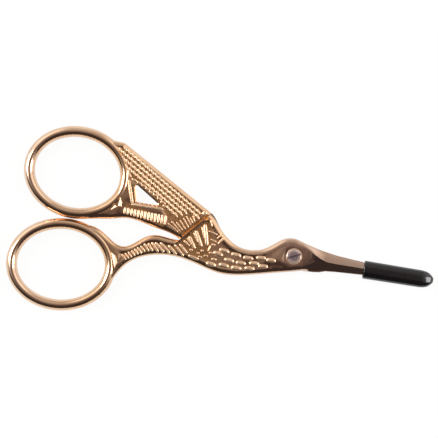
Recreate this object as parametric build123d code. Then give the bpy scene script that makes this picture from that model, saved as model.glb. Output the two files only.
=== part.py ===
"""Bird-shaped embroidery scissors, closed, lying flat, with a soft cap on the tips.

Millimetres. +Z is up, towards the front face. +X runs from the pivot to the tips
along the closing line, and +Y is the side of the tail. The origin is on the pivot
axis, at the surface that the scissors lie on.

Four pieces: the body half (leg ring, leg, body, neck and front blade), the wing half
(tail ring, wing, and below the body the rear neck and rear blade), the screw that
joins them, and the cap. The two halves are layers that slide on each other at the
joint plane, and each is full depth only in its own handle.
"""

import os
from math import atan2, cos, degrees, hypot, pi, radians, sin

from build123d import *

# Plan of the pair
handle_reach = 49.2  # pivot to the finger holes
tail_ring_offset = 10.38  # closing line to the middle of the tail ring
leg_ring_offset = 9.7532  # closing line to the middle of the leg ring
ring_gap = 0.1  # between the two rings when closed
tail_hole_length = 18.5
leg_hole_length = 18.95
finger_hole_width = 15.2
ring_band = 2.4  # metal round a finger hole, seen from the front
tail_ring_turn = -2.6  # degrees
leg_ring_turn = 6.9  # degrees
body_depth = 6.2  # closing line to the underside of the body
wing_height = 18.2  # closing line to the top corner of the tail
blade_reach = 28.8  # pivot to the tips
blade_width = 5.3  # both blades, at the head
edge_setback = 0.14  # a cutting edge, inside the other blade's back

# Depth, measured up from the surface below
ring_thickness = 3.4
ring_flat_depth = 0.08  # worn off the ring's round, front and back
half_thickness = 1.56  # one layer
layer_gap = 0.04  # running gap between the layers
seam_gap = 0.15  # between the halves' facing edges when closed
edge_round = 1.05  # polished outer edges
overrun = 1.0  # how far a cutter passes the metal

# Screw
screw_radius = 1.0
screw_play = 0.03  # radial, in the half that turns on it
screw_head_radius = 1.55
screw_head_height = 0.4
screw_head_sink = 0.32  # depth of the head's seat
screw_seat_play = 0.08
screw_edge_round = 0.12
slot_width = 0.42
slot_depth = 0.2
slot_turn = 25.0  # degrees

# Wing
knob_round = 1.15
window_round = 0.35
window_bevel = 0.3
field_depth = 0.16  # of the sunk grounds that carry the feather ornament
ladder_length = 9.4
ladder_width = 1.9
ladder_turn = -13.5  # degrees
ground_round = 0.5

# Cap
cap_length = 14.8
cap_bore_width = 3.25
cap_bore_depth = 2.45
cap_bore_round = 0.6
cap_wall = 0.35
cap_round = 1.5
cap_end_wall = 0.7
cap_taper = 0.4  # degrees
cap_end_round = 1.3
cap_mouth_round = 0.12
cap_drop = 0.43  # closing line down to the middle of the cap

joint_plane = ring_thickness / 2
front_face = joint_plane + layer_gap / 2 + half_thickness
front_inner = joint_plane + layer_gap / 2
rear_inner = joint_plane - layer_gap / 2
rear_face = rear_inner - half_thickness

# Outline points: (share of the reach on that side of the pivot, share of the body's depth)
leg_top_shares = [
    (-0.840, -0.245), (-0.807, -0.42), (-0.772, -0.575), (-0.741, -0.602), (-0.705, -0.46),
    (-0.658, -0.17), (-0.612, -0.038), (-0.560, -0.062),
]
neck_top_shares = [
    (-0.340, 0.573), (-0.302, 0.275), (-0.249, 0.033), (-0.195, -0.029),
    (-0.143, 0.055), (-0.095, 0.300), (-0.047, 0.560), (-0.008, 0.612), (0.062, 0.520),
]
neck_bottom_shares = [
    (0.062, -0.470), (-0.020, -0.584), (-0.075, -0.684), (-0.177, -0.882), (-0.262, -0.995),
    (-0.320, -0.990), (-0.390, -0.865), (-0.457, -0.735),
]
leg_bottom_shares = [
    (-0.527, -0.663), (-0.580, -0.689), (-0.631, -0.784), (-0.681, -0.960), (-0.728, -1.273),
    (-0.749, -1.516), (-0.769, -1.823),
]
seam_foot_shares = (-0.506, -0.073)  # where leg, wing and body meet
wing_bottom_shares = [
    (-0.860, 0.216), (-0.812, 0.275), (-0.762, 0.370), (-0.720, 0.372), (-0.681, 0.318), (-0.625, 0.219),
    (-0.560, 0.122),
]
# Outline points: (share of the handle's reach, share of the wing's height)
body_shoulder_shares = (-0.389, 0.3286)
wing_top_shares = [(-0.413, 0.388), (-0.811, 1.006)]
window_shares = [(-0.738, 0.556), (-0.718, 0.336), (-0.610, 0.334)]
# Where the outlines leave the rings, as degrees round each ring, the first past the tail's corner
tail_ring_leave = 8.0
tail_ring_join = -72.0
leg_ring_leave = 60.0
leg_ring_join = -40.0

tail_middle_share = -0.9955  # of the handle's reach
leg_middle_share = -1.003

# Blade stations: along as a share of the blade's reach; back, cutting edge and ridge as
# shares of its width; ridge height as a share of a layer; how far the head's section has
# given way to the blade's
front_blade_shares = [
    (0.062, 0.608, -0.550, 0.400, 1.000, 0.0),
    (0.090, 0.565, -0.530, 0.320, 1.000, 0.12),
    (0.125, 0.512, -0.515, 0.225, 0.990, 0.35),
    (0.165, 0.455, -0.495, 0.120, 0.965, 0.65),
    (0.205, 0.405, -0.455, 0.040, 0.925, 0.88),
    (0.250, 0.362, -0.400, -0.020, 0.880, 1.0),
    (0.320, 0.302, -0.368, -0.038, 0.820, 1.0),
    (0.500, 0.225, -0.315, -0.038, 0.680, 1.0),
    (1.000, -0.022, -0.117, -0.068, 0.270, 1.0),
]
rear_blade_shares = [
    (0.062, -0.550, 0.608, -0.400, 1.000, 0.0),
    (0.090, -0.530, 0.565, -0.320, 1.000, 0.12),
    (0.125, -0.522, 0.512, -0.225, 0.990, 0.35),
    (0.165, -0.512, 0.455, -0.130, 0.965, 0.65),
    (0.205, -0.485, 0.405, -0.065, 0.925, 0.88),
    (0.250, -0.405, 0.362, -0.038, 0.880, 1.0),
    (0.320, -0.368, 0.302, -0.038, 0.820, 1.0),
    (0.500, -0.315, 0.225, -0.038, 0.680, 1.0),
    (1.000, -0.117, -0.022, -0.068, 0.270, 1.0),
]
back_land_share = 0.42  # square back, of the ridge's height
edge_land_share = 0.2  # square cutting edge, of the ridge's height
round_steps = 4  # straight runs that follow one round of a section
back_bow = 0.7  # power of the back facet's bow, 1 if it were straight
grind_bow = 1.45  # power of the hollow-ground facet's hollow, 1 if it were straight
ladder_shares = (-0.674, 0.208)  # middle of the ladder strip
feather_ground_shares = [
    (-0.828, 0.940), (-0.762, 0.660), (-0.722, 0.618), (-0.590, 0.340), (-0.562, 0.160),
    (-0.500, 0.035), (-0.4065, 0.305), (-0.775, 0.900),
]
cap_mouth_share = 0.533  # of the blade's reach
cap_end_share = 0.9  # of the bore's corner round, at the bore's end


def at(shares, height=body_depth):
    """A point of an outline, from its shares of the reach and of a height."""
    along, across = shares
    reach = blade_reach if along > 0 else handle_reach
    return Vector(along * reach, across * height)


class FingerRing:
    """The place and size of one ring, and points on its outer edge."""

    def __init__(self, reach_share, offset, hole_length, turn):
        self.middle = Vector(reach_share * handle_reach, offset)
        self.turn = turn
        self.long = hole_length / 2 + ring_band / 2
        self.short = finger_hole_width / 2 + ring_band / 2

    def half_height(self):
        """From the ring's middle to its outer edge, square to the closing line."""
        out = ring_band / 2
        turn = radians(self.turn)
        return hypot((self.long + out) * sin(turn), (self.short + out) * cos(turn))

    def place(self):
        return Pos(self.middle.X, self.middle.Y, joint_plane) * Rot(0, 0, self.turn)

    def edge(self, bearing):
        """The outer edge's point at that many degrees round the ring."""
        out = ring_band / 2
        point = Vector(
            (self.long + out) * cos(radians(bearing)), (self.short + out) * sin(radians(bearing))
        )
        return self.middle + point.rotate(Axis.Z, self.turn)

    def bearing(self, point):
        """How many degrees round the ring a point lies."""
        away = (point - self.middle).rotate(Axis.Z, -self.turn)
        return degrees(atan2(away.Y / self.short, away.X / self.long))

    def solid(self):
        """An oval tube round the finger hole, with its front and back worn flat."""
        path = Ellipse(self.long, self.short).edge()
        start = Plane(origin=path @ 0, z_dir=path % 0, x_dir=(0, 0, 1))
        section = start * Ellipse(ring_thickness / 2 + ring_flat_depth, ring_band / 2)
        tube = sweep(section, path=path)
        slab = Box(
            2 * (self.long + ring_band), 2 * (self.short + ring_band), ring_thickness
        )
        return self.place() * (tube & slab)

    def hole(self):
        """What is cut from a plate so that it ends inside the ring's metal."""
        return self.place() * extrude(Ellipse(self.long, self.short), ring_thickness, both=True)


tail_ring = FingerRing(tail_middle_share, tail_ring_offset, tail_hole_length, tail_ring_turn)
leg_ring = FingerRing(leg_middle_share, -leg_ring_offset, leg_hole_length, leg_ring_turn)
# The closed rings keep their gap about the line midway between them
facing = tail_ring.middle.Y - tail_ring.half_height() + leg_ring.middle.Y + leg_ring.half_height()
tail_ring.middle.Y = (facing + ring_gap) / 2 + tail_ring.half_height()
leg_ring.middle.Y = (facing - ring_gap) / 2 - leg_ring.half_height()


def plate(outline, inner, outer, square):
    """A layer from its inner to its outer face, whose outer edges are round but for the square ones."""
    low, high = min(inner, outer), max(inner, outer)
    solid = Pos(0, 0, low) * extrude(outline, high - low)
    kept = [Vector((e @ 0.5).X, (e @ 0.5).Y, outer) for e in square]
    face = solid.faces().sort_by(Axis.Z)[-1 if outer == high else 0]
    rim = [e for e in face.edges() if all((e @ 0.5 - k).length > seam_gap / 2 for k in kept)]
    return fillet(rim, edge_round)


def curve(points):
    return Spline([Vector(p.X, p.Y) for p in points])


def chain(*edges):
    return make_face(Wire(list(edges)))


# Seams: the front one runs up from the leg to the shoulder, the rear one down to the belly
seam_foot = at(seam_foot_shares)
shoulder = at(body_shoulder_shares, wing_height)
belly = at(neck_bottom_shares[-1])
front_gap = (shoulder - seam_foot).rotate(Axis.Z, 90).normalized() * seam_gap
rear_gap = (belly - seam_foot).rotate(Axis.Z, 90).normalized() * seam_gap


def neck_edges(first, last):
    """The bird's back from first to the head, the head's end, and its underside to last."""
    points = [first, *[at(s) for s in neck_top_shares]]
    heading = at(wing_top_shares[0], wing_height) - at(wing_top_shares[1], wing_height)
    top = Spline(points, tangents=[heading, points[-1] - points[-2]])
    bottom = curve([*[at(s) for s in neck_bottom_shares[:-1]], last])
    return [top, Line(top @ 1, bottom @ 0), bottom]


def into_ring(ring, leave, join):
    """The two lines that carry an outline from the ring's edge to its middle and out again."""
    return [Line(leave, ring.middle), Line(ring.middle, join)]


def leg_edges():
    """The leg's upper edge from the ring to the seams' foot, and its lower edge back from the belly."""
    top = curve([leg_ring.edge(leg_ring_leave), *[at(s) for s in leg_top_shares], seam_foot])
    bottom = curve([belly, *[at(s) for s in leg_bottom_shares], leg_ring.edge(leg_ring_join)])
    return top, bottom


def body_front_layer():
    """Front layer of the body half: leg, body, neck and head."""
    top, bottom = leg_edges()
    seam = Line(seam_foot, shoulder)
    inside = into_ring(leg_ring, bottom @ 1, top @ 0)
    neck = neck_edges(shoulder, belly)
    outline = chain(top, seam, *neck, bottom, *inside)
    return plate(outline, front_inner, front_face, [seam, neck[1], *inside])


def body_rear_layer():
    """Rear layer of the body half: the leg alone, up to the rear seam."""
    top, bottom = leg_edges()
    seam = Line(seam_foot, belly)
    inside = into_ring(leg_ring, bottom @ 1, top @ 0)
    outline = chain(top, seam, bottom, *inside)
    return plate(outline, front_inner, rear_face, [seam, *inside])


def crossing(start, along, other, across):
    """Where the line from start, in the direction along, meets the line from other."""
    return start + along * ((other - start).cross(across).Z / along.cross(across).Z)


def wing_edges():
    """The tail's top edge, from the front seam to the ring, and the wing's lower edge to the seams."""
    low, high = [at(s, wing_height) for s in wing_top_shares]
    corner = crossing(low, high - low, seam_foot + front_gap, shoulder - seam_foot)
    leave = tail_ring.edge(tail_ring.bearing(high) + tail_ring_leave)
    top = FilletPolyline(corner, high, leave, radius=knob_round)
    foot = seam_foot + front_gap + rear_gap
    bottom = curve([tail_ring.edge(tail_ring_join), *[at(s) for s in wing_bottom_shares], foot])
    return top, bottom


def wing_front_layer():
    """Front layer of the wing half: the wing, up to the front seam."""
    top, bottom = wing_edges()
    seam = Line(bottom @ 1, top @ 0)
    inside = into_ring(tail_ring, top @ 1, bottom @ 0)
    outline = chain(*top.edges(), *inside, bottom, seam)
    return plate(outline, rear_inner, front_face, [seam, *inside])


def wing_rear_layer():
    """Rear layer of the wing half: the wing, and behind the body the rear neck and head."""
    top, bottom = wing_edges()
    seam = Line(bottom @ 1, belly + rear_gap)
    inside = into_ring(tail_ring, top @ 1, bottom @ 0)
    neck = neck_edges(top @ 0, seam @ 1)
    outline = chain(*top.edges(), *inside, bottom, seam, *neck)
    return plate(outline, rear_inner, rear_face, [seam, neck[1], *inside])


def head_section(back, edge):
    """The head's half section: flat, with both outer edges round."""
    side = edge_round if back > edge else -edge_round
    turns = [pi / 2 * step / round_steps for step in range(round_steps + 1)]
    rounds = [(side * (1 - cos(t)), half_thickness - edge_round * (1 - sin(t))) for t in turns]
    return [(back - x, y) for x, y in rounds], [(edge + x, y) for x, y in reversed(rounds)]


def blade_section(back, edge, ridge, crest):
    """The blade's half section: square back, bowed facet up to the ridge, hollow-ground facet."""
    steps = range(round_steps + 1)
    up = [step / round_steps for step in steps]
    down = [step / (round_steps + 1) for step in reversed(steps)]
    back_land, edge_land = back_land_share * crest, edge_land_share * crest
    bowed = [(back + t * (ridge - back), back_land + t ** back_bow * (crest - back_land)) for t in up]
    hollow = [(edge + t * (ridge - edge), edge_land + t ** grind_bow * (crest - edge_land)) for t in down]
    return bowed, hollow


def blade(stations_shares, inner, outward):
    """A blade that leaves the head and tapers to the tip, flat on its inner face."""
    sections = []
    for along, back, edge, ridge, crest, given_way in stations_shares:
        inset = edge_setback if edge < back else -edge_setback
        back, edge = back * blade_width, edge * blade_width + inset * given_way
        head = head_section(back, edge)
        ground = blade_section(back, edge, ridge * blade_width, crest * half_thickness)
        profile = [
            ((1 - given_way) * a + given_way * c, (1 - given_way) * b + given_way * d)
            for (a, b), (c, d) in zip(head[0] + head[1], ground[0] + ground[1])
        ]
        corners = [(x, outward * y) for x, y in [(back, 0), *profile, (edge, 0)]]
        station = Plane(origin=(along * blade_reach, 0, inner), x_dir=(0, 1, 0), z_dir=(1, 0, 0))
        sections.append(station * make_face(Polyline(*corners, close=True)))
    return loft(sections, ruled=True)


def through(outline, wide):
    """A cutter through both faces of the pair, widened at each face by the bevel."""
    depth = front_face - rear_face
    middle = (front_face + rear_face) / 2
    cutter = Pos(0, 0, middle) * extrude(outline, depth / 2 + overrun, both=True)
    for face, turn in ((front_face, 1), (rear_face, -1)):
        low = face - turn * window_bevel
        cutter += loft([Pos(0, 0, low) * outline, Pos(0, 0, face + turn * window_bevel) * wide])
    return cutter


def window():
    """The triangular opening in the tail."""
    corners = [at(s, wing_height) for s in window_shares]
    outline = fillet(Polyline(*corners, close=True).vertices(), window_round)
    outline = make_face(outline)
    return through(outline, offset(outline, 2 * window_bevel))


def ground(outline):
    """A sunk ground of that outline in both faces of the wing."""
    cutter = Pos(0, 0, front_face - field_depth) * extrude(outline, overrun)
    return cutter + Pos(0, 0, rear_face + field_depth) * extrude(outline, -overrun)


def ladder_ground():
    """The strip under the window."""
    middle = at(ladder_shares, wing_height)
    strip = Rot(0, 0, ladder_turn) * Rectangle(ladder_length, ladder_width)
    return ground(Pos(middle.X, middle.Y) * strip)


def feather_ground():
    """The feather field, inside a plain border along the tail's top edge and the front seam."""
    corners = [at(s, wing_height) for s in feather_ground_shares]
    outline = fillet(Polyline(*corners, close=True).vertices(), ground_round)
    return ground(make_face(outline))


def screw():
    """Slotted screw: head in its seat in the front, tail a little proud of the rear."""
    seat = front_face - screw_head_sink + screw_play
    shank = extrude(Circle(screw_radius), seat)
    head = Pos(0, 0, seat) * extrude(Circle(screw_head_radius), screw_head_height)
    head = fillet(head.edges().sort_by(Axis.Z)[-1], screw_edge_round)
    top = seat + screw_head_height
    slot = Pos(0, 0, top) * Rot(0, 0, slot_turn) * Box(
        2 * (screw_head_radius + overrun), slot_width, 2 * slot_depth
    )
    return (shank + head) - slot


def cap():
    """Soft cap: a rounded sleeve with a domed end, its bore open at the mouth."""
    mouth = Plane(
        origin=(cap_mouth_share * blade_reach, -cap_drop, joint_plane),
        x_dir=(0, 1, 0), z_dir=(1, 0, 0),
    )
    wall = 2 * cap_wall
    outer = RectangleRounded(cap_bore_width + wall, cap_bore_depth + wall, cap_round)
    shell = extrude(mouth * outer, cap_length, taper=cap_taper)
    ends = shell.faces().sort_by(Axis.X)
    shell = fillet(ends[-1].edges(), cap_end_round)
    shell = fillet(shell.faces().sort_by(Axis.X)[0].edges(), cap_mouth_round)
    bore = RectangleRounded(cap_bore_width, cap_bore_depth, cap_bore_round)
    hollow = extrude(mouth * bore, cap_length - cap_end_wall)
    hollow = fillet(hollow.faces().sort_by(Axis.X)[-1].edges(), cap_bore_round * cap_end_share)
    return shell - hollow


def main():
    os.makedirs("parts", exist_ok=True)
    bore = Pos(0, 0, joint_plane) * extrude(Circle(screw_radius + screw_play), ring_thickness, both=True)
    seat = Pos(0, 0, front_face - screw_head_sink) * extrude(
        Circle(screw_head_radius + screw_seat_play), screw_head_sink + overrun
    )
    tapped = Pos(0, 0, joint_plane) * extrude(Circle(screw_radius), ring_thickness, both=True)
    body = body_front_layer() + body_rear_layer() - leg_ring.hole()
    body += blade(front_blade_shares, front_inner, 1)
    body = body + leg_ring.solid() - bore - seat
    wing = wing_front_layer() + wing_rear_layer() - tail_ring.hole()
    wing += blade(rear_blade_shares, rear_inner, -1)
    wing = wing + tail_ring.solid() - tapped - window() - ladder_ground() - feather_ground()
    export_step(body, "parts/body_half.step")
    export_step(wing, "parts/wing_half.step")
    export_step(screw(), "parts/pivot_screw.step")
    export_step(cap(), "parts/tip_cap.step")


main()
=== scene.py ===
"""Looks of the stork embroidery scissors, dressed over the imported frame. Metres; mm() turns
millimetres into them. +X runs from the screw to the tips, +Y is the tail's side, +Z the front."""

from math import cos, hypot, inf, pi, radians, sin

import bpy
import bmesh
from mathutils import Matrix, Vector
from mathutils.kdtree import KDTree

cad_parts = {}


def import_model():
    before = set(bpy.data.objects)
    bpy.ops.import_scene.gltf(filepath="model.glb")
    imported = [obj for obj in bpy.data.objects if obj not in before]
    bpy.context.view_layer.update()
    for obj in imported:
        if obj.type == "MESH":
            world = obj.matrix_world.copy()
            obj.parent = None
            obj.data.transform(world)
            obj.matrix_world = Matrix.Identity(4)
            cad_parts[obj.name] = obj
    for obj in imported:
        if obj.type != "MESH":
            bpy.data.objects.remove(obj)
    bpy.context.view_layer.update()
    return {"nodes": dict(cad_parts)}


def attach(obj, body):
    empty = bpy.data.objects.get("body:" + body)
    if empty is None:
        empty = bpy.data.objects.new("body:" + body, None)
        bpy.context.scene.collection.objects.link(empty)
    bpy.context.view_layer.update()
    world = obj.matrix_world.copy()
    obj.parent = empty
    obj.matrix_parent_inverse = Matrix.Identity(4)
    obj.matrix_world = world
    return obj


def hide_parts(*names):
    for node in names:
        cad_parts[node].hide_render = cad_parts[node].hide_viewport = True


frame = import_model()

# Millimetres, with heights above the floor
FRONT = 3.28  # front face of the halves
REAR = 0.12  # rear face
MIDDLE = 1.7  # joint plane
CREST = 3.4  # flat tops of the rings
GROUND_DEPTH = 0.16  # sunk grounds of the wing
RINGS_END, TIPS_END = -62, 29  # ends of the closed pair along X
HEAD_RADIUS = 1.55  # of the screw's head


def mm(*values):
    """Metres from millimetres, as a vector where there are more than one."""
    return Vector([v * 0.001 for v in values]) if len(values) > 1 else values[0] * 0.001


# Materials

def colour(code):
    """Linear RGBA of an sRGB hex value."""
    parts = [int(code[i:i + 2], 16) / 255 for i in (1, 3, 5)]
    return [p / 12.92 if p <= 0.04045 else ((p + 0.055) / 1.055) ** 2.4 for p in parts] + [1.0]


def add(tree, kind, settings=None, *in_order, **by_name):
    """Adds a node, applies its settings, and sets its sockets, or links those that are given an
    output. A colour ramp has its stops, (place, colour), among its settings."""
    made = tree.nodes.new(kind)
    for name, value in (settings or {}).items():
        if name != "stops":
            setattr(made, name, value)
            continue
        elements = made.color_ramp.elements
        while len(elements) < len(value):
            elements.new(0.5)
        for element, (place, tint) in zip(elements, value):
            element.position, element.color = place, tint
    named = [(name.replace("_", " "), value) for name, value in by_name.items()]
    for key, value in [*enumerate(in_order), *named]:
        if isinstance(value, bpy.types.NodeSocket):
            tree.links.new(value, made.inputs[key])
        else:
            made.inputs[key].default_value = value
    return made


def material(name, build, *tints):
    """A material of nodes, which build makes in its tree, giving back the last shader."""
    made = bpy.data.materials.new(name)
    made.use_nodes = True
    made.node_tree.nodes.clear()
    shader = build(made.node_tree, *tints)
    add(made.node_tree, "ShaderNodeOutputMaterial", None, Surface=shader.outputs[0])
    return made


def plating(tree):
    """Rose-gold plated steel, forged and tumble polished: bright and warm at the rings and
    bird, paler towards the bare-ground blades, with fine hairlines from polishing."""
    cloud_size = 3.03  # mm, clouds of thinner plating
    hair_width, hair_stretch = 0.0505, 9  # mm, and times longer than wide
    place = add(tree, "ShaderNodeTexCoord").outputs["Object"]
    along = add(tree, "ShaderNodeSeparateXYZ", None, Vector=place).outputs["X"]
    # 0 at the rings' end, 1 at the tips
    share = add(tree, "ShaderNodeMapRange", None, Value=along,
                From_Min=mm(RINGS_END), From_Max=mm(TIPS_END))
    base = add(tree, "ShaderNodeValToRGB", {"stops": (
        (0.0, colour("#e9cbb0")), (0.25, colour("#e6c19c")), (0.5, colour("#e3bf9a")),
        (0.75, colour("#d1b5a3")), (1.0, colour("#c8b8b0")),
    )}, Fac=share.outputs["Result"])
    cloud = add(tree, "ShaderNodeTexNoise", None, Vector=place, Scale=1 / mm(cloud_size),
                Detail=3.0)
    thin = add(tree, "ShaderNodeMapRange", None, Value=cloud.outputs["Fac"],
               From_Min=0.35, From_Max=0.7, To_Max=0.35)
    worn = add(tree, "ShaderNodeMix", {"data_type": "RGBA"}, Factor=thin.outputs["Result"],
               A=base.outputs["Color"], B=colour("#c79a74"))
    stretched = add(tree, "ShaderNodeMapping", None, Vector=place,
                    Scale=(1.0, hair_stretch, hair_stretch))
    hair = add(tree, "ShaderNodeTexNoise", None, Vector=stretched.outputs["Vector"],
               Scale=1 / mm(hair_width * hair_stretch), Detail=2.0)
    rough = add(tree, "ShaderNodeMapRange", None, Value=hair.outputs["Fac"],
                To_Min=0.07, To_Max=0.14)
    bump = add(tree, "ShaderNodeBump", None, Height=hair.outputs["Fac"],
               Distance=mm(0.003), Strength=0.2)
    return add(tree, "ShaderNodeBsdfPrincipled", None, Base_Color=worn.outputs["Result"],
               Normal=bump.outputs["Normal"], Metallic=1.0, Roughness=rough.outputs["Result"])


def sunk_ground_painted_shade(tree):
    """Plating left dull in the sunk grounds, where polishing doesn't reach, and coloured dark brown
    there as painted shade.
    """
    grain_size = 0.2  # mm
    place = add(tree, "ShaderNodeTexCoord").outputs["Object"]
    grain = add(tree, "ShaderNodeTexNoise", None, Vector=place, Scale=1 / mm(grain_size),
                Detail=3.0)
    base = add(tree, "ShaderNodeValToRGB", {"stops": (
        (0.35, colour("#8a6240")), (0.65, colour("#c79a6c")),
    )}, Fac=grain.outputs["Fac"])
    bump = add(tree, "ShaderNodeBump", None, Height=grain.outputs["Fac"],
               Distance=mm(0.02), Strength=0.5)
    return add(tree, "ShaderNodeBsdfPrincipled", None, Base_Color=base.outputs["Color"],
               Normal=bump.outputs["Normal"], Metallic=1.0, Roughness=0.38)


def burnished(tree):
    """The raised ornament: the same plating, tumbled to a softer shine that catches more light, and
    coloured paler as a painted highlight.
    """
    spot_size = 0.5  # mm, rubbed and less rubbed spots
    place = add(tree, "ShaderNodeTexCoord").outputs["Object"]
    spots = add(tree, "ShaderNodeTexNoise", None, Vector=place, Scale=1 / mm(spot_size),
                Detail=2.0)
    base = add(tree, "ShaderNodeValToRGB", {"stops": (
        (0.3, colour("#e2bc98")), (0.7, colour("#efd1b0")),
    )}, Fac=spots.outputs["Fac"])
    rough = add(tree, "ShaderNodeMapRange", None, Value=spots.outputs["Fac"],
                To_Min=0.34, To_Max=0.46)
    return add(tree, "ShaderNodeBsdfPrincipled", None, Base_Color=base.outputs["Color"],
               Metallic=1.0, Roughness=rough.outputs["Result"])


def seam_gold(tree):
    """The chamfers along the seam, coloured deep orange as a painted reflection of gold mirroring
    gold there.
    """
    streak_size = 1.0  # mm, streaks of deeper colour
    place = add(tree, "ShaderNodeTexCoord").outputs["Object"]
    streak = add(tree, "ShaderNodeTexNoise", None, Vector=place, Scale=1 / mm(streak_size),
                 Detail=1.0)
    base = add(tree, "ShaderNodeValToRGB", {"stops": (
        (0.35, colour("#d57f30")), (0.65, colour("#eda257")),
    )}, Fac=streak.outputs["Fac"])
    return add(tree, "ShaderNodeBsdfPrincipled", None, Base_Color=base.outputs["Color"],
               Metallic=1.0, Roughness=0.42)


def steel(tree, middle, rim):
    """Turned and polished steel of the screw, greyer than the plating, with turning marks, and
    duller towards the head's rim, where it is also coloured paler as a painted highlight."""
    mark_spacing = 0.24166  # mm, coarser than real so that the marks show
    ring_wave = pi / 10  # length of a ring wave at a scale of 1
    place = add(tree, "ShaderNodeTexCoord").outputs["Object"]
    rings = add(tree, "ShaderNodeTexWave", {"wave_type": "RINGS", "rings_direction": "Z"},
                Vector=place, Scale=ring_wave / mm(mark_spacing), Distortion=0.4)
    flat = add(tree, "ShaderNodeVectorMath", {"operation": "MULTIPLY"}, place, (1, 1, 0))
    out = add(tree, "ShaderNodeVectorMath", {"operation": "LENGTH"}, flat.outputs["Vector"])
    # 0 on the axis, 1 at the head's rim
    share = add(tree, "ShaderNodeMapRange", None, Value=out.outputs["Value"],
                From_Max=mm(HEAD_RADIUS))
    # painted highlight: paler towards the head's rim
    base = add(tree, "ShaderNodeValToRGB", {"stops": (
        (0.50, colour(middle)), (0.85, colour(rim)),
    )}, Fac=share.outputs["Result"])
    rough = add(tree, "ShaderNodeMapRange", None, Value=share.outputs["Result"],
                From_Min=0.45, From_Max=0.95, To_Min=0.24, To_Max=0.40)
    bump = add(tree, "ShaderNodeBump", None, Height=rings.outputs["Fac"],
               Distance=mm(0.006), Strength=0.4)
    return add(tree, "ShaderNodeBsdfPrincipled", None, Base_Color=base.outputs["Color"],
               Normal=bump.outputs["Normal"], Metallic=1.0, Roughness=rough.outputs["Result"])


def vinyl(tree):
    """Dip-moulded soft vinyl, glossy black, with a faint orange-peel skin."""
    peel_size = 0.8333  # mm
    place = add(tree, "ShaderNodeTexCoord").outputs["Object"]
    peel = add(tree, "ShaderNodeTexNoise", None, Vector=place, Scale=1 / mm(peel_size),
               Detail=1.0)
    base = add(tree, "ShaderNodeValToRGB", {"stops": (
        (0.3, colour("#0c0a0c")), (0.7, colour("#131113")),
    )}, Fac=peel.outputs["Fac"])
    bump = add(tree, "ShaderNodeBump", None, Height=peel.outputs["Fac"],
               Distance=mm(0.01), Strength=0.25)
    return add(tree, "ShaderNodeBsdfPrincipled", None, Base_Color=base.outputs["Color"],
               Normal=bump.outputs["Normal"], Roughness=0.13, Coat_Weight=0.3,
               Coat_Roughness=0.06)


rose_gold = material("rose_gold_plated_steel", plating)
# painted shade: the sunk grounds' plating is coloured darker than the rest
recess = material("recess_plating_painted_shade", sunk_ground_painted_shade)
# painted highlight: the raised ornament's plating is coloured paler than the rest
relief_gold_painted_highlight = material("rose_gold_relief_painted_highlight", burnished)
# painted reflection: the seam's chamfers are coloured deep orange
groove_gold = material("seam_rose_gold_painted_reflection", seam_gold)
# painted highlight: the head's rim is coloured paler than its middle
screw_steel = material("polished_screw_steel", steel, "#cdbfc3", "#e6cfc4")
# painted shade: the slot's floor is coloured darker than the head
slot_steel = material("slot_steel_painted_shade", steel, "#8f8186", "#a5938f")
black_vinyl = material("dip_moulded_black_vinyl", vinyl)


# Skins: the forged halves, screw and cap, as smooth copies of the frame's nodes

def only(piece):
    """Makes a piece the one that is selected and active."""
    bpy.ops.object.select_all(action="DESELECT")
    piece.select_set(True)
    bpy.context.view_layer.objects.active = piece


def skin(node, name, body, slot, angle, *materials):
    """A merged copy of a node's mesh, shaded smooth up to an angle in degrees."""
    piece = bpy.data.objects.new(name, frame["nodes"][node].data.copy())
    bpy.context.scene.collection.objects.link(piece)
    only(piece)
    bpy.ops.mesh.customdata_custom_splitnormals_clear()
    bpy.ops.object.mode_set(mode="EDIT")
    bpy.ops.mesh.select_all(action="SELECT")
    bpy.ops.mesh.remove_doubles(threshold=mm(0.002))
    bpy.ops.object.mode_set(mode="OBJECT")
    bpy.ops.object.shade_smooth_by_angle(angle=radians(angle))
    weighted = piece.modifiers.new("even_faces", "WEIGHTED_NORMAL")
    weighted.keep_sharp = True
    bpy.ops.object.modifier_apply(modifier=weighted.name)
    piece.data.materials.clear()
    for one in materials:
        piece.data.materials.append(one)
    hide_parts(node)
    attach(piece, body)
    return piece


# degrees between faces that still look smooth
METAL_ANGLE, VINYL_ANGLE, DRAWN_ANGLE, ORNAMENT_ANGLE = 24, 35, 40, 50
SUNK, GROOVE = 1, 2  # places of the last two of the halves' materials
SLOT_FLOOR = (3.1, 3.25)  # heights between which the screw's slot has its floor
half_materials = (rose_gold, recess, groove_gold)
body_half = skin("body_half", "stork_body_half", "body", "gold_plating", METAL_ANGLE,
                 *half_materials)
wing_half = skin("wing_half", "stork_wing_half", "wing", "gold_plating", METAL_ANGLE,
                 *half_materials)
pivot_screw = skin("pivot_screw", "pivot_screw_turned", "wing", "screw", METAL_ANGLE,
                   screw_steel, slot_steel)
for face in pivot_screw.data.polygons:
    inside_head = hypot(*face.center.xy) < mm(HEAD_RADIUS - 0.05)
    if inside_head and mm(SLOT_FLOOR[0]) < face.center.z < mm(SLOT_FLOOR[1]):
        # the second of the screw's materials, darker as painted shade in the slot
        face.material_index = 1
tip_cap = skin("tip_cap", "tip_cap_moulded", "cap", "cap", VINYL_ANGLE, black_vinyl)


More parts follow.
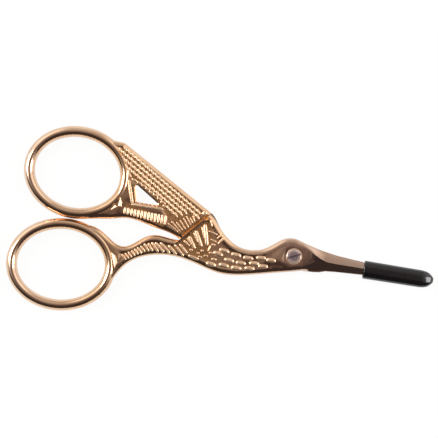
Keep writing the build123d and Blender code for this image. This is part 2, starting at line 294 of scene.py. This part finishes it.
def draw_in_end(piece, end, length, left, longer):
    """Draws the cap in to a bullet's end over a length before its end along X, in mm, leaving a
    share of its width there, and makes it a little longer."""
    cuts, end_face = 8, 0.05  # how many, and how far before the end its face's points may lie
    mesh = bmesh.new()
    mesh.from_mesh(piece.data)
    for n in range(cuts):
        # closer together towards the end
        place = end - length + length * sin(n / cuts * pi / 2)
        geometry = mesh.verts[:] + mesh.edges[:] + mesh.faces[:]
        bmesh.ops.bisect_plane(mesh, geom=geometry, dist=mm(0.001), plane_no=(1, 0, 0),
                               plane_co=mm(place, 0, 0))
    tip = [v.co for v in mesh.verts if v.co.x > mm(end - end_face)]
    middle = sum(tip, Vector()) / len(tip)
    for v in mesh.verts:
        along = max(0.0, (v.co.x * 1000 - end + length) / length)
        width = (1 - (1 - left * left) * min(1.0, along) ** 2) ** 0.5
        v.co.y = middle.y + (v.co.y - middle.y) * width
        v.co.z = middle.z + (v.co.z - middle.z) * width
        v.co.x += mm(longer) * along ** 2
    mesh.to_mesh(piece.data)
    mesh.free()
    only(piece)
    bpy.ops.object.shade_smooth_by_angle(angle=radians(DRAWN_ANGLE))


cap_end = max(v.co.x for v in tip_cap.data.vertices) * 1000
draw_in_end(tip_cap, cap_end, 2.6, left=0.5, longer=0.4)


# Modelled faces: the flat fronts and backs cut into a grid, then sunk or crowned.
# Places and lengths are millimetres.

GRID = 0.45  # spacing of the cuts
FACING = 0.999  # least Z of a flat face's normal
SLACK = 0.003  # how far a flat face's middle may be off its level
MERGED = 0.2  # degrees between faces that count as one
RIM_STEP = 0.15  # between the places looked at along a rim
CREST_INSET, CREST_RISES = 0.12, (0.035, 0.022)
LEG_START = (-37.6, -36.6)  # X over which the leg's ground sets in
BACK_NECK_START = (-24.5, -22.5)  # X over which the back's neck ground sets in
NECK_END = (-9.5, -2.5)  # X over which the neck's ground ends
RIM_SLOPE = (0.05, 0.45)  # distances from the rim over which a ground slopes down
BACK_DEPTH = 0.10  # of the back's neck and leg grounds
FIELD_SLOPE = (-0.15, 0.25)  # distances inside the wing's field over which it slopes down
# the wing's feather field, wider than the sunk ground of the solids
FIELD = [
    (-41.60, 17.40), (-39.54, 17.93), (-19.95, 6.24), (-24.80, 0.82), (-27.78, 2.17),
    (-29.03, 4.57), (-30.10, 5.81), (-36.37, 10.08), (-37.60, 10.50), (-38.30, 12.90),
    (-39.80, 15.20),
]


def blend(value, low, high):
    """0 below low, 1 above high, and a smooth rise between."""
    t = min(1.0, max(0.0, (value - low) / (high - low)))
    return t * t * (3 - 2 * t)


def inside_by(x, y, outline):
    """How far a place lies inside an outline, and less than 0 outside it."""
    inside, nearest = False, inf
    for (x1, y1), (x2, y2) in zip(outline, outline[1:] + outline[:1]):
        run = ((x - x1) * (x2 - x1) + (y - y1) * (y2 - y1)) / ((x2 - x1) ** 2 + (y2 - y1) ** 2)
        run = min(1.0, max(0.0, run))
        nearest = min(nearest, hypot(x - x1 - run * (x2 - x1), y - y1 - run * (y2 - y1)))
        if (y1 > y) != (y2 > y) and x < x1 + (y - y1) / (y2 - y1) * (x2 - x1):
            inside = not inside
    return nearest if inside else -nearest


def field_depth(x, y):
    """How deep the wing's field is sunk at a place."""
    return GROUND_DEPTH * blend(inside_by(x, y, FIELD), *FIELD_SLOPE)


def points(faces):
    """The points of some faces, each once and in their order."""
    return list(dict.fromkeys(v for f in faces for v in f.verts))


def edges_of(faces):
    """The edges of some faces, each once and in their order."""
    return list(dict.fromkeys(e for f in faces for e in f.edges))


def flat_faces(mesh, level, side):
    """The faces that lie flat at a level and look out to a side, 1 front and -1 back."""
    return [f for f in mesh.faces if f.normal.z * side > FACING
            and abs(f.calc_center_median().z - mm(level)) < mm(SLACK)]


def merge_flat(mesh, level, side):
    """Dissolves the edges inside the flat faces at a level."""
    flat = flat_faces(mesh, level, side)
    bmesh.ops.dissolve_limit(mesh, angle_limit=radians(MERGED), use_dissolve_boundaries=False,
                             verts=points(flat), edges=edges_of(flat))


def cut_grid(mesh, flat, side):
    """Cuts flat faces by planes at GRID along X, then Y, and gives the faces they become."""
    low = [min(v.co[k] for f in flat for v in f.verts) for k in (0, 1)]
    high = [max(v.co[k] for f in flat for v in f.verts) for k in (0, 1)]
    for k, across in enumerate((Vector((1, 0, 0)), Vector((0, 1, 0)))):
        for step in range(1, int((high[k] - low[k]) / mm(GRID)) + 1):
            cut = low[k] + step * mm(GRID)
            met = [f for f in flat if f.is_valid
                   and min(v.co[k] for v in f.verts) < cut < max(v.co[k] for v in f.verts)]
            found = bmesh.ops.bisect_plane(mesh, geom=met + edges_of(met) + points(met),
                                           dist=mm(0.002), plane_co=across * cut, plane_no=across)
            parts = [g for g in found["geom"] if isinstance(g, bmesh.types.BMFace)
                     and g.normal.z * side > FACING]
            flat = list(dict.fromkeys([f for f in flat if f.is_valid] + parts))
    return flat


def rim_tree(rim):
    """A tree of places along rim edges, to find the nearest one."""
    samples = []
    for e in rim:
        a, b = (v.co for v in e.verts)
        count = max(1, int((b - a).length / mm(RIM_STEP)))
        samples += [a.lerp(b, n / count) for n in range(count + 1)]
    tree = KDTree(len(samples))
    for n, place in enumerate(samples):
        tree.insert(place, n)
    tree.balance()
    return tree


def model_face(piece, level, shape, sunk_below=inf):
    """Cuts a flat face at a level into a grid and moves its inner points by what shape gives for
    (x, y, distance from the face's rim). What sinks below sunk_below gets the recess plating, dull
    and darker with painted shade."""
    side = 1 if level > MIDDLE else -1
    mesh = bmesh.new()
    mesh.from_mesh(piece.data)
    merge_flat(mesh, level, side)
    flat = cut_grid(mesh, flat_faces(mesh, level, side), side)
    inside = set(flat)
    rim = [e for e in edges_of(flat) if any(f not in inside for f in e.link_faces)]
    tree = rim_tree(rim)
    rim_points = {v for e in rim for v in e.verts}
    for v in points(flat):
        if v not in rim_points:
            away = tree.find(v.co)[2] * 1000
            v.co.z += side * mm(shape(v.co.x * 1000, v.co.y * 1000, away))
    if piece is wing_half:
        # the rim of the solids' smaller ground goes down with the field round it
        for v in rim_points:
            v.co.z -= side * mm(field_depth(v.co.x * 1000, v.co.y * 1000))
    for f in flat:
        f.smooth = True
        if (mm(level) - f.calc_center_median().z) * side > mm(sunk_below):
            f.material_index = SUNK
    if piece is wing_half:
        # its lowered rim points meet others
        bmesh.ops.remove_doubles(mesh, verts=mesh.verts, dist=mm(0.001))
    mesh.to_mesh(piece.data)
    mesh.free()


def round_crest(piece):
    """Rounds a ring's flat front: two rings of edges inset in it, each raised."""
    mesh = bmesh.new()
    mesh.from_mesh(piece.data)
    merge_flat(mesh, CREST, 1)
    for rise in CREST_RISES:
        flat = [f for f in mesh.faces
                if f.normal.z > 0.9 and f.calc_center_median().z > mm(CREST - SLACK)]
        flat = [f for f in flat
                if max(v.co.z for v in f.verts) - min(v.co.z for v in f.verts) < mm(0.001)]
        bmesh.ops.inset_region(mesh, faces=flat, thickness=mm(CREST_INSET), use_even_offset=True)
        for v in points(flat):
            v.co.z += mm(rise)
    mesh.to_mesh(piece.data)
    mesh.free()


def feathered(x, y, away):
    """The bird's front: a sunk ground from the leg to the neck, and a crowned head."""
    depth, crown, crown_slope = 0.13, 0.22, (0.0, 1.8)
    ground = blend(x, *LEG_START) * (1 - blend(x, *NECK_END))
    return (crown * (1 - ground) * blend(away, *crown_slope)
            - depth * ground * blend(away, *RIM_SLOPE))


def bordered(x, y, away):
    """The wing's front: sunk to the ground over the whole field, its borders slightly crowned."""
    crown, crown_slope = 0.08, (0.0, 1.4)
    depth = field_depth(x, y)
    return crown * (1 - depth / GROUND_DEPTH) * blend(away, *crown_slope) - depth


def backed(x, y, away):
    """The wing half's back, which is also the neck's and head's."""
    crown, crown_slope = 0.05, (0.0, 1.6)
    if inside_by(x, y, FIELD) > 0.05:
        return -field_depth(x, y)
    neck = blend(x, *BACK_NECK_START) * (1 - blend(x, *NECK_END))
    return (crown * (1 - neck) * blend(away, *crown_slope)
            - BACK_DEPTH * neck * blend(away, *RIM_SLOPE))


def ribbed(x, y, away):
    """The leg's back."""
    return -BACK_DEPTH * blend(x, *LEG_START) * blend(away, *RIM_SLOPE)


def chamfer_seam(piece, start, end, level, width):
    """A chamfer along a half's edge that faces the seam from start to end, half as deep as wide."""
    near, past = 0.2, 0.3  # how far its edge's points may be off the seam, and past its ends
    mesh = bmesh.new()
    mesh.from_mesh(piece.data)
    a, b = mm(*start, level), mm(*end, level)
    run = (b - a).normalized()
    edges = []
    for e in mesh.edges:
        offs = [v.co - a for v in e.verts]
        turn = abs((e.verts[1].co - e.verts[0].co).normalized().dot(run))
        if turn > 0.99 and all(
                (o - run * o.dot(run)).length < mm(near)
                and -mm(past) < o.dot(run) < (b - a).length + mm(past) for o in offs):
            edges.append(e)
    made = bmesh.ops.bevel(mesh, geom=edges, offset=mm(width), segments=1, affect="EDGES",
                           profile=0.5)
    for face in made["faces"]:
        face.material_index = GROOVE
    for v in points(made["faces"]):
        v.co.z = (v.co.z + mm(level)) / 2
    mesh.to_mesh(piece.data)
    mesh.free()


# read from the photograph: the seam on the front, and the one that the back would show
FRONT_SEAM = ((-24.89, -0.45), (-19.14, 5.98))
REAR_SEAM = ((-24.89, -0.45), (-22.48, -4.56))
chamfer_seam(body_half, *FRONT_SEAM, FRONT, 0.6)
chamfer_seam(wing_half, *FRONT_SEAM, FRONT, 0.4)
chamfer_seam(body_half, *REAR_SEAM, REAR, 0.1)
chamfer_seam(wing_half, *REAR_SEAM, REAR, 0.1)
round_crest(body_half)
round_crest(wing_half)
model_face(body_half, FRONT, feathered)
model_face(body_half, REAR, ribbed)
model_face(wing_half, FRONT, bordered, sunk_below=0.12)
model_face(wing_half, REAR, backed, sunk_below=0.14)

# the floors of the sunk grounds get the recess plating and its painted shade too
BODY_GROUND_SPAN, BODY_GROUND = (-36.5, -18.2), (3.12, 3.19)  # along X, and in height
for face in body_half.data.polygons:
    if (mm(BODY_GROUND_SPAN[0]) < face.center.x < mm(BODY_GROUND_SPAN[1])
            and mm(BODY_GROUND[0]) < face.center.z < mm(BODY_GROUND[1]) and face.normal.z > 0.9):
        face.material_index = SUNK
for face in wing_half.data.polygons:
    off = [abs(face.center.z - mm(floor)) for floor in (FRONT - GROUND_DEPTH, REAR + GROUND_DEPTH)]
    if abs(face.normal.z) > 0.99 and min(off) < mm(0.004):
        face.material_index = SUNK


# Ornament: each kind modelled once, then copied into place on the front and the back

SINK = 0.05  # of ornament into what carries it
ON_FLAT = 0.09  # how far above the flats ornament may stand, which keeps it off the crests
ON_HEAD = 0.25  # the same for the neck's beads, of which the last climbs the head's crown
UNDER_FLAT = 0.3  # how far below the flats it may stand, which keeps it off the sides
FOOT = 0.1  # from a mark's ends to where its feet are tested
BACK_CLEARANCE = 0.02  # from the back's ornament to the plane that the rings lie on


def raised(name, sides, steps, stretch):
    """A low dome of 1 by 1 by 1 to copy, with round ends: a disc whose halves are moved apart by
    stretch, drawn up in (rise, width) steps and scaled to be 1 long."""
    bpy.ops.object.select_all(action="DESELECT")
    bpy.ops.mesh.primitive_circle_add(vertices=sides, radius=0.5, fill_type="NGON")
    piece = bpy.context.object
    piece.name = name
    for v in piece.data.vertices:
        v.co.x += stretch if v.co.x > 0.01 else -stretch if v.co.x < -0.01 else 0
    length = 1 + 2 * stretch
    bpy.ops.object.mode_set(mode="EDIT")
    bpy.ops.mesh.select_all(action="SELECT")
    for rise, width in steps:
        bpy.ops.mesh.extrude_region_move(TRANSFORM_OT_translate={"value": (0, 0, rise)})
        bpy.ops.transform.resize(value=((length - 1 + width) / length, width, 1))
    bpy.ops.object.mode_set(mode="OBJECT")
    piece.data.transform(Matrix.Diagonal((1 / length, 1, 1, 1)))
    return piece


low_dome = [(0.0, 0.98), (0.45, 0.90), (0.33, 0.78), (0.17, 0.60), (0.05, 0.5)]
round_dome = [(0.0, 0.98), (0.40, 0.92), (0.27, 0.82), (0.18, 0.74), (0.10, 0.66), (0.05, 0.5)]
flat_top = [(0.0, 0.98), (0.6, 0.9), (0.3, 0.86), (0.1, 0.8)]
quill = raised("quill", 12, low_dome, 1.4)
scale = raised("scale", 10, low_dome, 0.5)
bead = raised("bead", 16, round_dome, 0.4)
bar = raised("bar", 12, flat_top, 2.0)


def hit(piece, x, y, side):
    """The height of a piece's surface at a place, from the front or from the back."""
    start = mm(x, y, 8.0 if side > 0 else -4.0)  # clear of the piece
    found, place = piece.ray_cast(start, (0, 0, -side))[:2]
    return place.z * 1000 if found else None


def lay(master, name, carrier, body, marks, side, height, highest):
    """Copies a master over marks of (x, y, turn, length, width) on a carrier's front or back, keeps
    those that lie wholly on it and no more than highest above its flat, and joins them into one
    piece. Marks are in millimetres and degrees."""
    level = FRONT if side > 0 else REAR
    copies = []
    for x, y, turn, length, width in marks:
        along = Vector((cos(radians(turn)), sin(radians(turn)))) * (length / 2 - FOOT)
        feet = [hit(carrier, x + along.x * k, y + along.y * k, side) for k in (-1, 0, 1)]
        if None in feet or not all(-UNDER_FLAT < (f - level) * side < highest for f in feet):
            continue
        base = (min(feet) if side > 0 else max(feet)) - side * SINK
        copy = bpy.data.objects.new(name, master.data.copy())
        bpy.context.scene.collection.objects.link(copy)
        rise = height if side > 0 else min(height, max(feet) - BACK_CLEARANCE)
        size = Matrix.Diagonal((*mm(length, width, rise + SINK), 1))
        flip = Matrix.Rotation(0 if side > 0 else pi, 4, "X")
        turned = Matrix.Rotation(radians(turn), 4, "Z")
        copy.data.transform(Matrix.Translation(mm(x, y, base)) @ turned @ flip @ size)
        copies.append(copy)
    bpy.ops.object.select_all(action="DESELECT")
    for copy in copies:
        copy.select_set(True)
    piece = copies[0]
    bpy.context.view_layer.objects.active = piece
    if len(copies) > 1:
        bpy.ops.object.join()
    piece.name = name
    bpy.ops.object.shade_smooth_by_angle(angle=radians(ORNAMENT_ANGLE))
    piece.data.materials.clear()
    piece.data.materials.append(relief_gold_painted_highlight)
    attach(piece, body)


def facet(name, carrier, body, corners):
    """A raised facet with the given corners, its top drawn in to a ridge that leans to the ring."""
    height, lean, worn = 0.3, 0.3, 0.06
    steps = ((SINK + height * 0.6, 0.96), (height * 0.4, 0.80))  # (rise, width left)
    bpy.ops.object.select_all(action="DESELECT")
    bpy.ops.mesh.primitive_circle_add(vertices=len(corners), radius=1, fill_type="NGON")
    piece = bpy.context.object
    piece.name = name
    middle = [sum(c[k] for c in corners) / len(corners) for k in (0, 1)]
    level = max(hit(carrier, *middle, 1), FRONT - 0.1) - SINK
    for v, corner in zip(piece.data.vertices, corners):
        v.co = mm(*corner, level)
    bpy.ops.object.mode_set(mode="EDIT")
    bpy.ops.mesh.select_all(action="SELECT")
    for rise, width in steps:
        bpy.ops.mesh.extrude_region_move(TRANSFORM_OT_translate={"value": (0, 0, mm(rise))})
        bpy.ops.transform.resize(value=(width, width, 1), center_override=mm(*middle, 0))
    bpy.ops.mesh.select_all(action="SELECT")
    bpy.ops.mesh.normals_make_consistent(inside=False)
    bpy.ops.object.mode_set(mode="OBJECT")
    for v in piece.data.vertices:
        if v.co.z > mm(level + SINK * 2):
            v.co.z += lean * (v.co.x - mm(middle[0]))
    bevel = piece.modifiers.new("worn_edges", "BEVEL")
    bevel.width = mm(worn)
    bevel.segments = 2
    bpy.ops.object.modifier_apply(modifier=bevel.name)
    bpy.ops.object.shade_smooth_by_angle(angle=radians(ORNAMENT_ANGLE))
    piece.data.materials.append(relief_gold_painted_highlight)
    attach(piece, body)


# Places read from the photograph: (x, y, turn, length, width)

petal_marks = [(x, y, -22, 1.35, 0.70) for x, y in (
    (-36.54, 10.70), (-35.38, 10.27), (-34.28, 9.75), (-33.43, 9.26), (-32.47, 8.64),
    (-31.53, 8.17), (-30.58, 7.54), (-29.69, 6.91), (-29.10, 6.14))]
shoulder_dot = [(-20.50, 6.05, 48, 1.40, 1.20)]
fringe_marks = [
    (-26.71, 1.96, -32, 3.05, 0.45), (-26.14, 2.32, -41, 3.11, 0.45),
    (-25.39, 2.48, -44, 2.31, 0.45), (-24.76, 2.93, -50, 2.41, 0.45),
    (-24.10, 3.43, -53, 2.51, 0.45), (-23.60, 3.94, -54, 2.41, 0.45),
    (-23.00, 4.08, -56, 1.44, 0.45), (-22.57, 4.53, -66, 1.51, 0.45),
]
frame_marks = [(-36.97, 8.10, -73, 5.4, 0.75), (-32.90, 5.50, -0.5, 7.3, 0.80)]
# bars under the window, evenly spaced and longer towards the shoulder
ladder_marks = [(-37.55 + 0.745 * n, 3.90 - 0.052 * n, 91, 1.6 + 0.06 * n, 0.66)
                for n in range(13)]
rib_marks = [
    (-36.13, -6.00, -46, 1.61, 0.56), (-35.52, -5.66, -49, 1.54, 0.56),
    (-34.93, -5.26, -52, 1.50, 0.56), (-34.29, -4.84, -52, 1.50, 0.66),
    (-33.66, -4.43, -52, 1.50, 0.66), (-33.02, -4.05, -48, 1.69, 0.66),
    (-32.38, -3.64, -48, 1.69, 0.66), (-31.64, -3.20, -52, 2.09, 0.66),
    (-30.85, -3.00, -52, 2.10, 0.66), (-29.86, -2.84, -47, 2.60, 0.74),
    (-28.87, -2.72, -40, 2.94, 0.76), (-27.68, -2.64, -40, 3.27, 0.78),
    (-26.05, -2.84, -41, 2.79, 0.80), (-24.63, -2.69, -43, 3.29, 0.66),
    (-23.78, -2.17, -43, 2.74, 0.74),
]
breast_marks = [
    (-19.42, 1.50, -76, 4.9, 0.95), (-20.85, 0.48, -62, 3.9, 0.90), (-22.12, -0.59, -58, 3.2, 0.85),
    (-23.22, -0.93, -38, 1.8, 0.65), (-20.05, 1.85, -69, 2.9, 0.60), (-21.50, 0.62, -60, 2.4, 0.56),
    (-22.75, -0.40, -48, 1.8, 0.5), (-18.00, 2.19, -15, 2.18, 0.55), (-17.65, 0.57, -18, 1.5, 0.55),
    (-16.02, 0.80, 58, 2.0, 0.6), (-21.32, -3.67, -12, 2.40, 0.75), (-18.30, -1.20, -100, 1.5, 0.5),
    (-22.06, -2.20, 0, 0.8, 0.7), (-19.68, -1.99, 0, 0.8, 0.7), (-17.80, -2.16, 0, 0.8, 0.7),
    (-20.49, -2.61, 0, 0.7, 0.6), (-17.55, -0.33, 0, 0.8, 0.7), (-18.75, -2.95, 0, 0.9, 0.6),
    (-16.6, 1.55, 60, 1.1, 0.4), (-19.9, -3.35, -10, 0.9, 0.6), (-18.7, 4.2, -72, 1.6, 0.45),
]
# the neck's three rows of beads, then a small one between the rows
bead_marks = [(x, y, turn, 2.3, 1.08) for x, y, turn in (
    (-15.02, -1.23, -8), (-12.33, -1.71, -6), (-9.69, -1.96, 0), (-6.91, -1.51, 4),
    (-4.70, -1.66, 4), (-16.22, -2.08, -12), (-13.63, -3.10, -6), (-11.07, -3.28, 0),
    (-8.21, -2.90, 4), (-17.41, -4.54, -8), (-14.61, -4.35, -4), (-11.88, -4.50, 0),
    (-9.02, -4.12, 3), (-6.22, -3.23, 6))]
bead_marks += [(-16.92, -3.40, 0, 1.2, 0.6)]

# The wing's scales lie in rows parallel to its top edge, inside the outline SCALED
TAIL_CORNER = (-40.1, 18.3)
ROW_TURN, SCALE_LEAN = -31.6, 27  # degrees, and down from the rows
FIRST_ROW, ROW_PITCH, SCALE_PITCH = 0.74, 0.92, 1.10
ROWS, PLACES = range(14), range(-4, 26)  # enough to cover the wing
OUTLINE_GAP, PETAL_GAP, DOT_GAP = 0.22, 0.6, 0.95
SCALED = [
    (-41.60, 17.65), (-39.50, 18.10), (-20.10, 6.55), (-21.50, 4.70), (-23.20, 5.20),
    (-25.00, 4.50), (-27.30, 3.90), (-28.80, 5.20), (-29.10, 6.14), (-30.58, 7.54),
    (-33.43, 9.26), (-36.54, 10.70), (-38.00, 11.10), (-38.90, 12.85), (-40.60, 15.20),
]


def away_from(marks, x, y):
    """How far a place lies from the nearest of some marks."""
    return min(hypot(x - mark[0], y - mark[1]) for mark in marks)


row = Vector((cos(radians(ROW_TURN)), sin(radians(ROW_TURN))))
down = Vector((row.y, -row.x))
scale_marks = []
for n in ROWS:
    for k in PLACES:
        # each second row is half a scale further along
        x, y = (Vector(TAIL_CORNER) + row * SCALE_PITCH * (k + n % 2 / 2)
                + down * (FIRST_ROW + ROW_PITCH * n))
        if (inside_by(x, y, SCALED) > OUTLINE_GAP and away_from(petal_marks, x, y) > PETAL_GAP
                and away_from(shoulder_dot, x, y) > DOT_GAP):
            scale_marks.append((x, y, ROW_TURN - SCALE_LEAN, 1.45, 0.62))

for side, end in ((1, "front"), (-1, "back")):
    bird, bird_body = (body_half, "body") if side > 0 else (wing_half, "wing")
    # the last two are the heights on the front and the back, and how high it may stand
    for master, name, carrier, body, marks, heights, highest in (
            (scale, "wing_scales", wing_half, "wing", scale_marks, (0.19, 0.19), ON_FLAT),
            (scale, "wing_petals", wing_half, "wing", petal_marks, (0.22, 0.22), ON_FLAT),
            (quill, "wing_fringe", wing_half, "wing", fringe_marks, (0.25, 0.25), ON_FLAT),
            (bead, "wing_shoulder_dot", wing_half, "wing", shoulder_dot, (0.42, 0.1), ON_FLAT),
            (bar, "window_frame", wing_half, "wing", frame_marks, (0.3, 0.09), ON_FLAT),
            (quill, "wing_ladder", wing_half, "wing", ladder_marks, (0.24, 0.24), ON_FLAT),
            (quill, "leg_ribs", body_half, "body", rib_marks, (0.26, 0.16), ON_FLAT),
            (quill, "breast_feathers", bird, bird_body, breast_marks, (0.3, 0.16), ON_FLAT),
            (bead, "neck_beads", bird, bird_body, bead_marks, (0.24, 0.16), ON_HEAD)):
        lay(master, name + "_" + end, carrier, body, marks, side,
            heights[0 if side > 0 else 1], highest)

facet("tail_facet_upper", wing_half, "wing",
      ((-38.93, 6.69), (-38.37, 5.58), (-38.31, 4.50), (-39.16, 4.48)))
facet("tail_facet_lower", wing_half, "wing", ((-39.72, 4.89), (-39.16, 4.48), (-40.88, 3.26)))
facet("leg_facet", body_half, "body",
      ((-39.17, -5.10), (-37.85, -5.98), (-37.37, -7.34), (-37.72, -8.97)))


def screw_halo():
    """The burnished ring that the screw's head has left round its seat."""
    radius, width, flatness, lift = 1.66, 0.07, 0.10, 0.015
    bpy.ops.object.select_all(action="DESELECT")
    bpy.ops.mesh.primitive_torus_add(major_segments=64, minor_segments=12, location=(0, 0, 0),
                                     major_radius=mm(radius), minor_radius=mm(width))
    piece = bpy.context.object
    piece.name = "screw_burnished_ring"
    bpy.ops.object.mode_set(mode="EDIT")
    bpy.ops.mesh.select_all(action="SELECT")
    bpy.ops.transform.resize(value=(1, 1, flatness))
    bpy.ops.transform.translate(value=(0, 0, mm(FRONT + lift)))
    bpy.ops.object.mode_set(mode="OBJECT")
    bpy.ops.object.shade_smooth_by_angle(angle=radians(ORNAMENT_ANGLE))
    # the relief plating, coloured paler as a painted highlight
    piece.data.materials.append(relief_gold_painted_highlight)
    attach(piece, "body")


screw_halo()
# only the copies stay
for master in (quill, scale, bead, bar):
    bpy.data.objects.remove(master)


# Floor, light and camera

def paper(tree):
    """White to the camera, to gloss and through glass, but for a faint shadow, and pale paper to
    all else."""
    shadow = 0.06  # share of the paper's own shading that the camera sees
    path = add(tree, "ShaderNodeLightPath").outputs
    seen = add(tree, "ShaderNodeMath", {"operation": "MAXIMUM"},
               path["Is Camera Ray"], path["Is Glossy Ray"])
    either = add(tree, "ShaderNodeMath", {"operation": "MAXIMUM"},
                 seen.outputs[0], path["Is Transmission Ray"])
    share = add(tree, "ShaderNodeMath", {"operation": "MULTIPLY"}, either.outputs[0], 1 - shadow)
    white = add(tree, "ShaderNodeEmission", None, Color=colour("#ffffff"), Strength=1.0)
    own = add(tree, "ShaderNodeBsdfDiffuse", None, Color=colour("#f4f2ee"))
    return add(tree, "ShaderNodeMixShader", None,
               share.outputs[0], own.outputs[0], white.outputs[0])


def floor():
    """A plain white sweep under the object."""
    bpy.ops.mesh.primitive_plane_add(size=2.4, location=(0, 0, 0))
    piece = bpy.context.object
    piece.name = "floor"
    piece.data.materials.append(material("white_paper_floor", paper))


def world():
    """A studio room: dark over the table, pale round its walls, white to the camera."""
    made = bpy.data.worlds.new("studio_room")
    made.use_nodes = True
    tree = made.node_tree
    tree.nodes.clear()
    up = add(tree, "ShaderNodeTexCoord").outputs["Generated"]
    parts = add(tree, "ShaderNodeSeparateXYZ", None, Vector=up).outputs
    # 0 towards the near side of the table, 1 towards the far wall
    depth = add(tree, "ShaderNodeMapRange", None, Value=parts["Y"], From_Min=-1.0)
    walls = add(tree, "ShaderNodeValToRGB", {"stops": (
        (0.10, colour("#423c3c")), (0.34, colour("#3f3838")), (0.43, colour("#594d4b")),
        (0.50, colour("#867774")), (0.65, colour("#ada29e")), (0.90, colour("#d4cecb")),
    )}, Fac=depth.outputs["Result"])
    # white screens at both sides, from the middle of the table on
    across = add(tree, "ShaderNodeMath", {"operation": "ABSOLUTE"}, parts["X"])
    screens = add(tree, "ShaderNodeValToRGB", {"stops": (
        (0.26, colour("#000000")), (0.50, colour("#e1dfde")), (0.78, colour("#f9f8f7")),
    )}, Fac=across.outputs[0])
    reach = add(tree, "ShaderNodeMapRange", None, Value=depth.outputs["Result"],
                From_Min=0.28, From_Max=0.46)
    room = add(tree, "ShaderNodeVectorMath", {"operation": "MULTIPLY_ADD"},
               screens.outputs["Color"], reach.outputs["Result"], walls.outputs["Color"])
    path = add(tree, "ShaderNodeLightPath").outputs
    lit = add(tree, "ShaderNodeBackground", None, Color=room.outputs["Vector"], Strength=1.0)
    white = add(tree, "ShaderNodeBackground", None, Color=colour("#ffffff"), Strength=1.0)
    mixed = add(tree, "ShaderNodeMixShader", None,
                path["Is Camera Ray"], lit.outputs[0], white.outputs[0])
    add(tree, "ShaderNodeOutputWorld", None, Surface=mixed.outputs[0])
    bpy.context.scene.world = made


def soft_box(name, place, size, power):
    """A rectangular soft box that faces the object, in metres and watts."""
    light = bpy.data.lights.new(name, "AREA")
    light.shape = "RECTANGLE"
    light.size, light.size_y = size
    light.energy = power
    box = bpy.data.objects.new(name, light)
    box.location = place
    box.rotation_euler = Vector(place).to_track_quat("Z", "Y").to_euler()
    bpy.context.scene.collection.objects.link(box)


def camera():
    """Straight above, turned as the photograph is, and as far off as gives its frame's width."""
    middle, seen_width, turn = (-17.22, 5.35), 94.3, 9.2
    lens = bpy.data.cameras.new("camera")
    lens.lens = 200
    lens.sensor_width = 36
    eye = bpy.data.objects.new("camera", lens)
    eye.location = mm(*middle, FRONT + seen_width * lens.lens / lens.sensor_width)
    eye.rotation_euler = (0, 0, radians(turn))
    bpy.context.scene.collection.objects.link(eye)
    bpy.context.scene.camera = eye


floor()
world()
soft_box("left_soft_box", (-0.75, 0.05, 0.50), (0.35, 0.8), 7)
soft_box("right_soft_box", (0.75, 0.05, 0.50), (0.35, 0.8), 6)
camera()

bpy.context.scene.view_settings.view_transform = "Standard"
